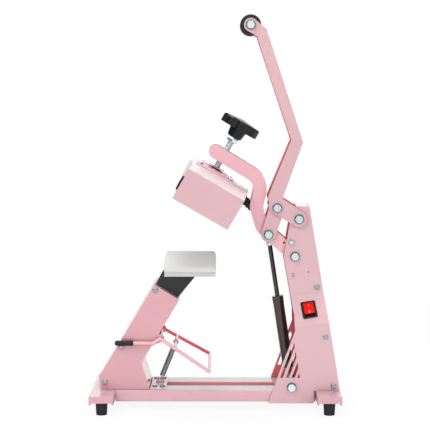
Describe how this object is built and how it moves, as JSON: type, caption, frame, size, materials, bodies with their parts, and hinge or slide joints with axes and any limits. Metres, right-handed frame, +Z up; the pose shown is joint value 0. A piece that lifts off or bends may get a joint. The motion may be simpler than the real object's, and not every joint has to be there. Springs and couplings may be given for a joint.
{
  "type": "cap heat press",
  "caption": "Bench press that heats and presses a design onto a cap, with a swinging head, toggle lever, star knob, lower platen and cap tensioner.",
  "frame": {"origin": "on the table, midway between the two cross-members and in the plane of symmetry of the linkage", "axes": "+Z up; +X from the operator at the front towards the column at the rear; +Y to the left of an operator who faces the press"},
  "size_m": [0.432, 0.21, 0.6826],
  "materials": {
    "pink_steel": "satin",
    "zinc": "satin",
    "black_steel": "satin",
    "black_plastic": "matte",
    "black_rubber": "matte",
    "red_rocker": "gloss",
    "aluminium": "satin",
    "silicone": "matte",
    "insulation": "matte",
    "display": "gloss",
    "button_plastic": "matte",
    "steel": "brushed"
  },
  "bodies": {
    "frame": {"front_cross_member": "pink_steel", "rear_cross_member": "pink_steel", "near_rail": "pink_steel", "far_rail": "pink_steel", "near_column_plate": "pink_steel", "far_column_plate": "pink_steel", "column_cover": "pink_steel", "column_spacers": "zinc", "column_bolts": "zinc", "stop_bolt": "zinc", "switch_housing": "black_plastic", "cord_gland": "black_plastic", "near_pedestal_plate": "pink_steel", "far_pedestal_plate": "pink_steel", "pedestal_front": "pink_steel", "pedestal_rear": "pink_steel", "pedestal_top": "pink_steel", "platen_bracket": "black_steel", "platen_saddle": "aluminium", "platen_pad": "silicone", "platen_bolts": "zinc", "spring_anchor": "pink_steel", "tension_spring": "zinc", "panel_screws": "zinc", "front_feet": "black_rubber", "rear_feet": "black_rubber", "foot_screws": "zinc"},
    "rocker": {"switch_rocker": "red_rocker"},
    "arm": {"near_arm_plate": "pink_steel", "far_arm_plate": "pink_steel", "screw_block": "steel", "arm_spacers": "zinc", "link_bolt": "zinc"},
    "link": {"near_link": "pink_steel", "far_link": "pink_steel"},
    "lever": {"near_lever_plate": "pink_steel", "far_lever_plate": "pink_steel", "lever_grip": "black_rubber", "lever_bolts": "zinc"},
    "head": {"head_cover": "pink_steel", "head_front_panel": "pink_steel", "head_rear_panel": "pink_steel", "heating_platen": "aluminium", "insulation": "insulation", "heater_studs": "zinc", "head_bracket": "pink_steel", "control_panel": "black_plastic", "display_window": "display", "cable_boot": "black_rubber"},
    "knob": {"pressure_screw": "zinc", "star_knob": "black_plastic"},
    "gas_tube": {"gas_tube": "black_steel", "gas_tube_eye": "steel"},
    "gas_rod": {"gas_rod": "black_steel", "gas_rod_eye": "steel"},
    "bail": {"tensioner_bail": "pink_steel", "tensioner_grip": "black_rubber"},
    "button_1": {"button_1": "button_plastic"},
    "button_2": {"button_2": "button_plastic"},
    "button_3": {"button_3": "button_plastic"}
  },
  "joints": [
    {"name": "arm_close", "type": "hinge", "parent": "frame", "child": "arm", "pos_m": [0.138, 0, 0.265], "axis": [0, -1, 0], "range_deg": [0, 30], "stiffness_Nm_per_rad": 10, "springref_deg": -34.38},
    {"name": "lever_pull", "type": "hinge", "parent": "frame", "child": "lever", "pos_m": [0.1445, 0, 0.3309], "axis": [0, -1, 0], "range_deg": [0, 44]},
    {"name": "link_swing", "type": "hinge", "parent": "arm", "child": "link", "pos_m": [0.0919, 0, 0.3031], "axis": [0, -1, 0], "range_deg": [-42, 0]},
    {"name": "gas_tube_swing", "type": "hinge", "parent": "frame", "child": "gas_tube", "pos_m": [0.132, 0, 0.0402], "axis": [0, -1, 0], "range_deg": [0, 5]},
    {"name": "gas_rod_slide", "type": "slide", "parent": "gas_tube", "child": "gas_rod", "axis": [-0.1508, 0, 0.9886], "range_m": [-0.026, 0]},
    {"name": "head_slide", "type": "slide", "parent": "arm", "child": "head", "axis": [-0.5, 0, -0.866], "range_m": [-0.008, 0.002]},
    {"name": "knob_turn", "type": "hinge", "parent": "head", "child": "knob", "pos_m": [0.00237, 0, 0.42028], "axis": [-0.5, 0, -0.866], "range_deg": [-1440, 360]},
    {"name": "tensioner_swing", "type": "hinge", "parent": "frame", "child": "bail", "pos_m": [-0.096, 0, 0.1245], "axis": [0, -1, 0], "range_deg": [0, 30], "stiffness_Nm_per_rad": 0.5, "springref_deg": -28.65, "deforming": ["tension_spring"]},
    {"name": "switch_rock", "type": "hinge", "parent": "frame", "child": "rocker", "pos_m": [0.16216, -0.0435, 0.17381], "axis": [0.9857, 0.0265, 0.1665], "range_deg": [0, 16]},
    {"name": "button_1_press", "type": "slide", "parent": "head", "child": "button_1", "axis": [0.866, 0, -0.5], "range_m": [0, 0.0008], "stiffness_N_per_m": 300, "springref_m": -0.0006},
    {"name": "button_2_press", "type": "slide", "parent": "head", "child": "button_2", "axis": [0.866, 0, -0.5], "range_m": [0, 0.0008], "stiffness_N_per_m": 300, "springref_m": -0.0006},
    {"name": "button_3_press", "type": "slide", "parent": "head", "child": "button_3", "axis": [0.866, 0, -0.5], "range_m": [0, 0.0008], "stiffness_N_per_m": 300, "springref_m": -0.0006}
  ],
  "couplings": [
    {"joint": "lever_pull", "follows": "arm_close", "ratio": 1.46},
    {"joint": "link_swing", "follows": "arm_close", "ratio": -1.385},
    {"joint": "gas_tube_swing", "follows": "arm_close", "ratio": 0.142},
    {"joint": "gas_rod_slide", "follows": "arm_close", "m_per_rad": -0.04725},
    {"joint": "knob_turn", "follows": "head_slide", "rad_per_m": 3141.6}
  ]
}
